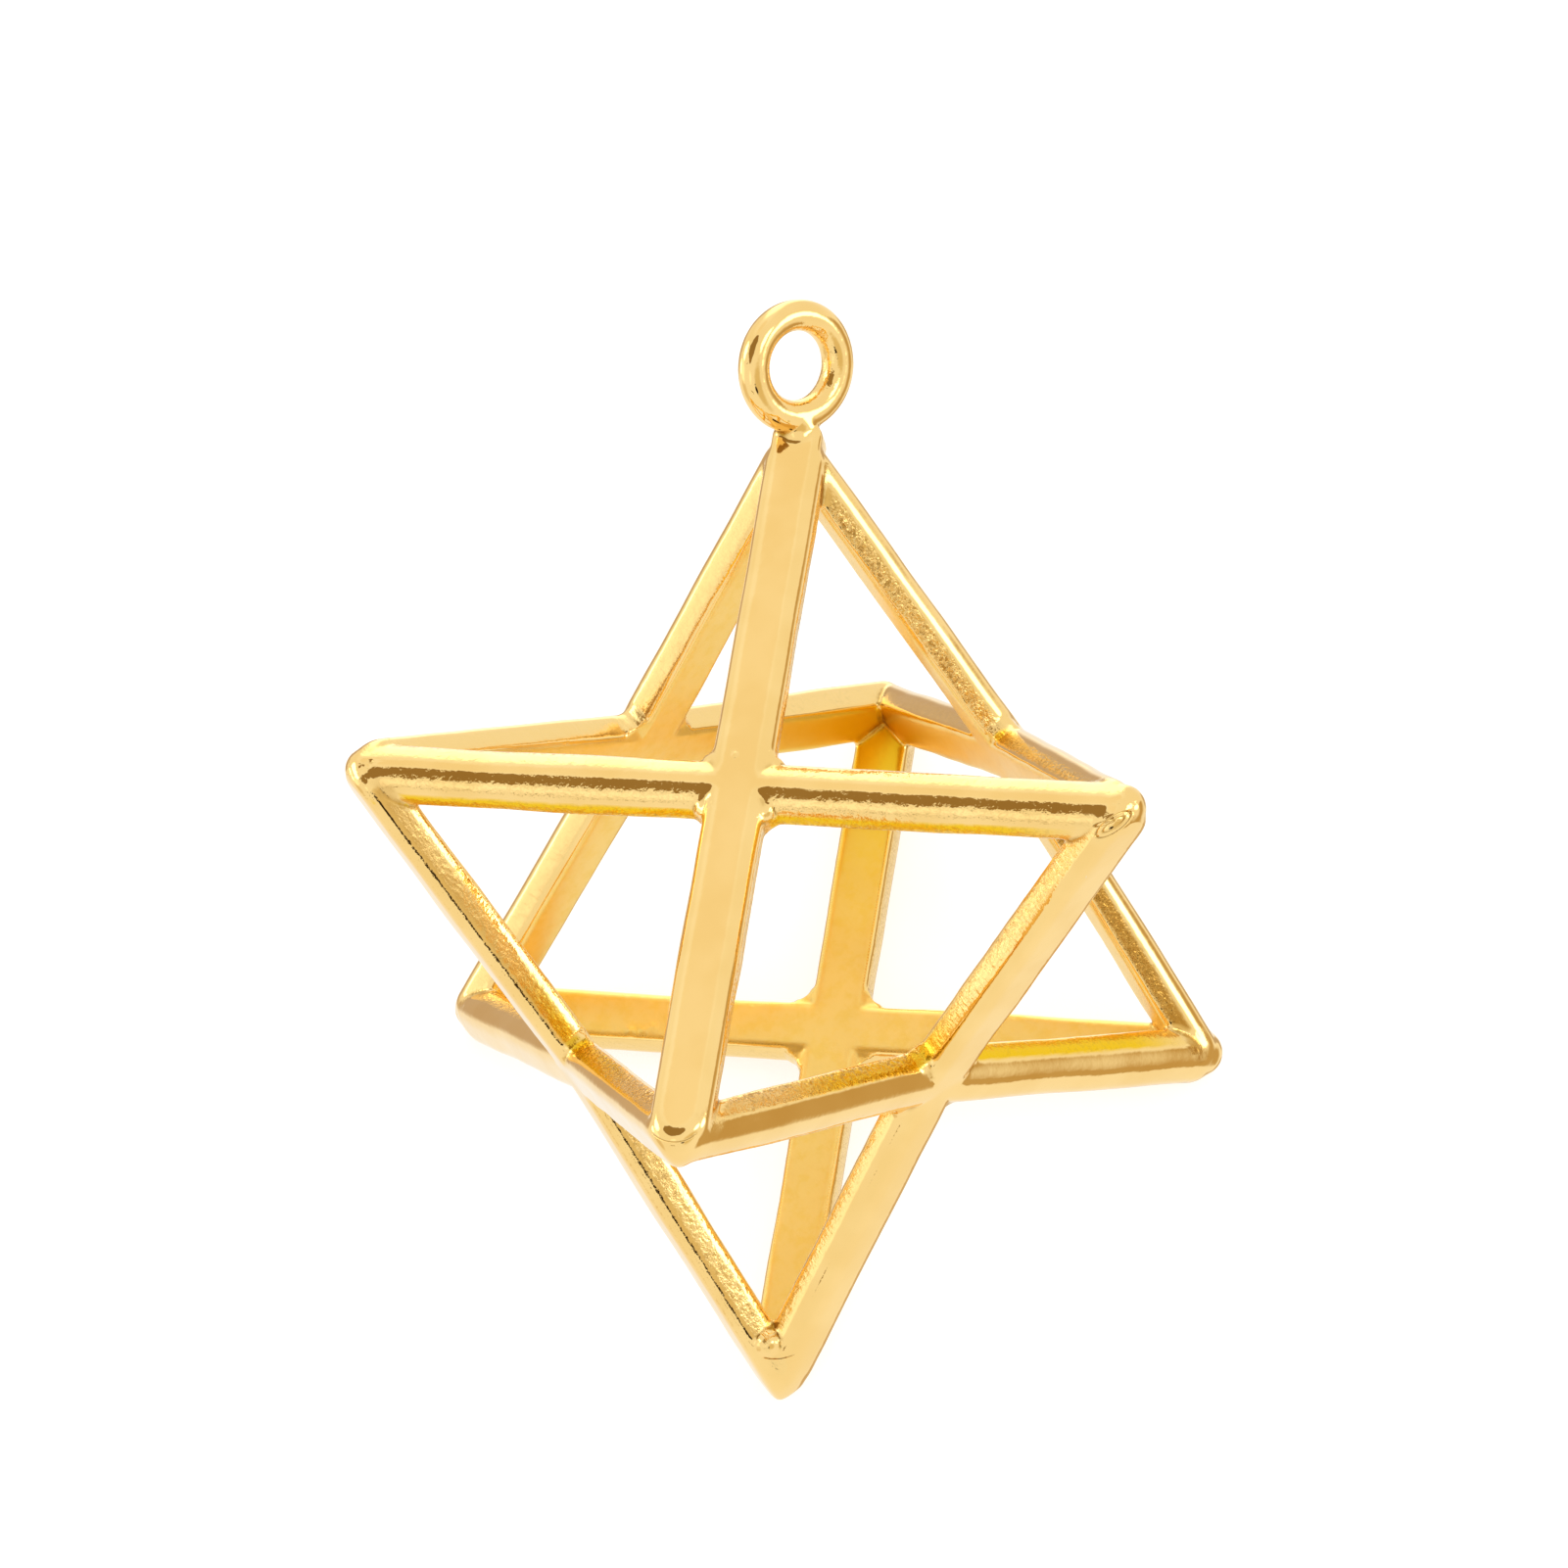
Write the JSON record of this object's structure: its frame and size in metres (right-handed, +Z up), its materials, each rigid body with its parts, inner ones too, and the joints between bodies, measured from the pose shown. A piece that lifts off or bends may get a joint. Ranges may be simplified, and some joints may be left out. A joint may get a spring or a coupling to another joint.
{
  "type": "merkaba pendant",
  "caption": "Open-work metal star pendant of interlocked tetrahedron frames, with a closed loop at its top point to hang it from a chain.",
  "frame": {"origin": "the middle of the face that the star rests on, where the two lowest bars cross, on their outer face", "axes": "+Z up from the surface it rests on. The star's eight points are the corners of a cube with its faces square to X, Y and Z, and the looped top point is the corner at +X +Y +Z"},
  "size_m": [0.0168, 0.0165, 0.0168],
  "materials": {
    "polished_gold": "polished and gold plated, with fine-grained cast sides"
  },
  "bodies": {
    "root": {"star_with_loop": "polished_gold"}
  },
  "joints": []
}
